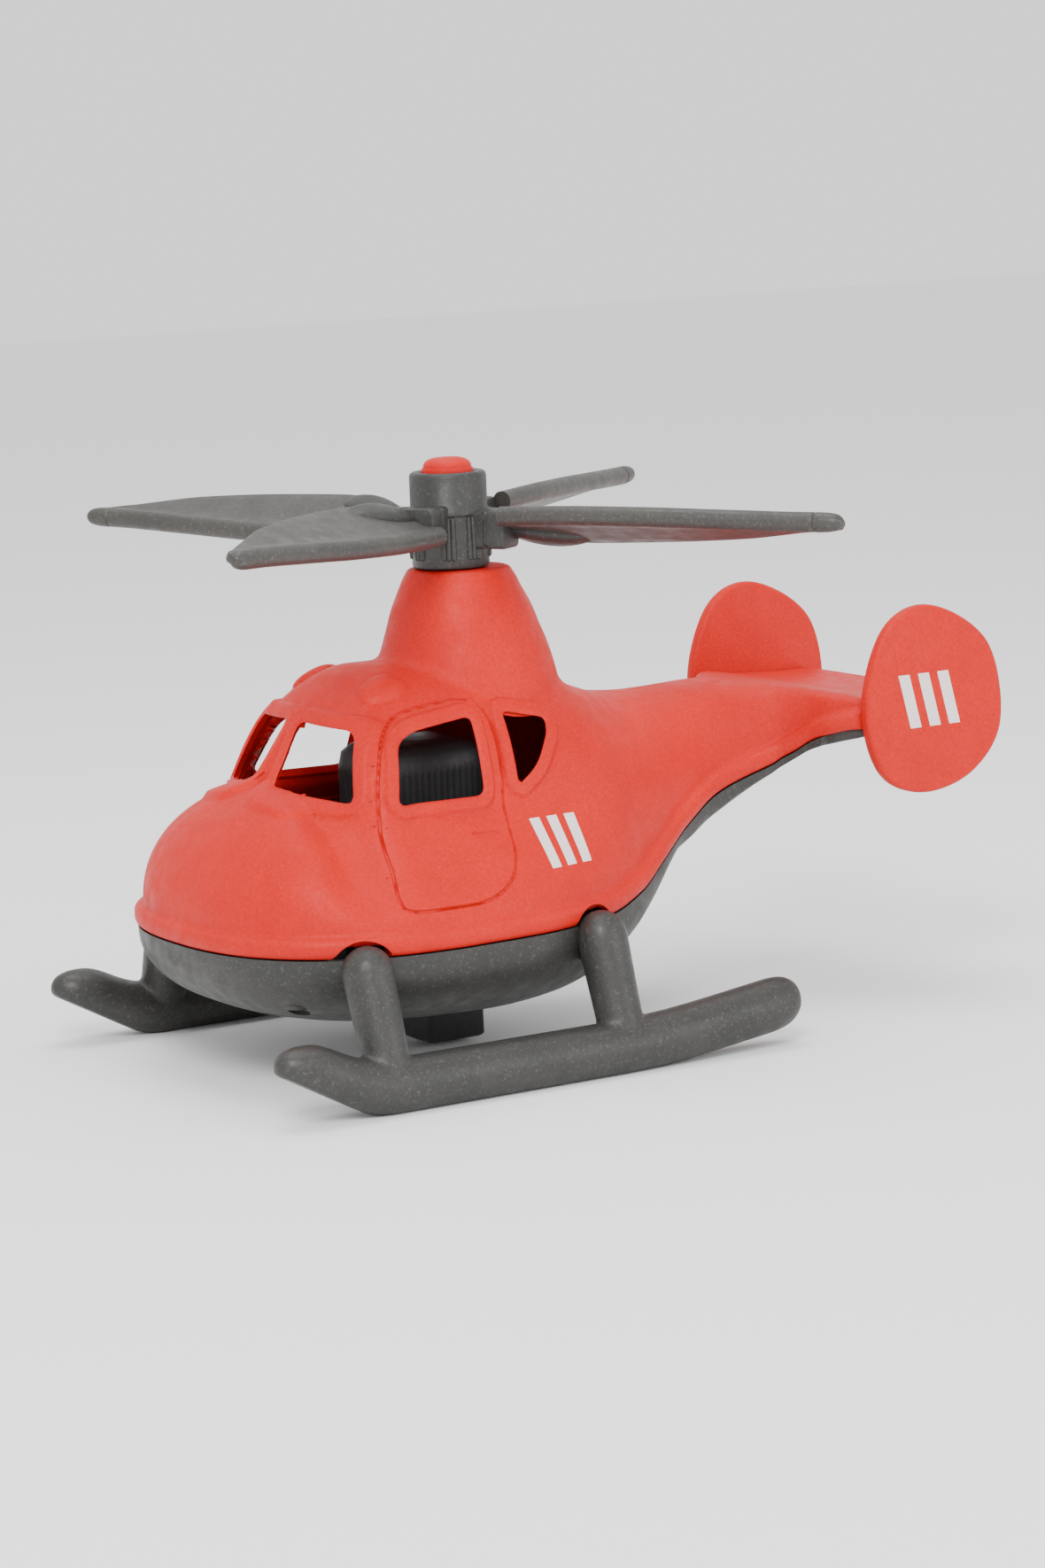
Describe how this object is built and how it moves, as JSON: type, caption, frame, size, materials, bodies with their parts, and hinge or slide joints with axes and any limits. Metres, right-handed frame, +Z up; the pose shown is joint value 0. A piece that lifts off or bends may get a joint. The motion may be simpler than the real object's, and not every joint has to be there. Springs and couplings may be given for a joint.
{
  "type": "toy helicopter",
  "caption": "Chunky plastic toy helicopter with a hollow cabin, open windows, skids, twin tail fins and a rotor that spins freely on a pin.",
  "frame": {"origin": "on the floor, under the middle of the whole toy's length and width", "axes": "+X forward to the nose, +Y to port, +Z up"},
  "size_m": [0.2824, 0.2232, 0.18],
  "materials": {
    "red_plastic": "satin, fine moulded grain",
    "grey_plastic": "matt, moulded grain",
    "dark_plastic": "matt",
    "steel": "plain screw"
  },
  "bodies": {
    "airframe": {"body_shell": "red_plastic", "chassis_tub": "grey_plastic", "skid_port": "grey_plastic", "skid_starboard": "grey_plastic", "fin_port": "red_plastic", "fin_starboard": "red_plastic", "cabin_seat": "dark_plastic", "belly_block": "dark_plastic", "screw_front_port": "steel", "screw_front_starboard": "steel", "screw_rear_port": "steel", "screw_rear_starboard": "steel", "screw_tail": "steel", "rotor_pin": "red_plastic", "pin_retainer": "grey_plastic"},
    "rotor": {"rotor_hub": "grey_plastic", "rotor_blade_1": "grey_plastic", "rotor_blade_2": "grey_plastic", "rotor_blade_3": "grey_plastic", "rotor_blade_4": "grey_plastic"}
  },
  "joints": [
    {"name": "rotor_spin", "type": "hinge", "parent": "airframe", "child": "rotor", "pos_m": [0.0292, 0, 0.16], "axis": [0, 0, 1], "continuous": true}
  ]
}
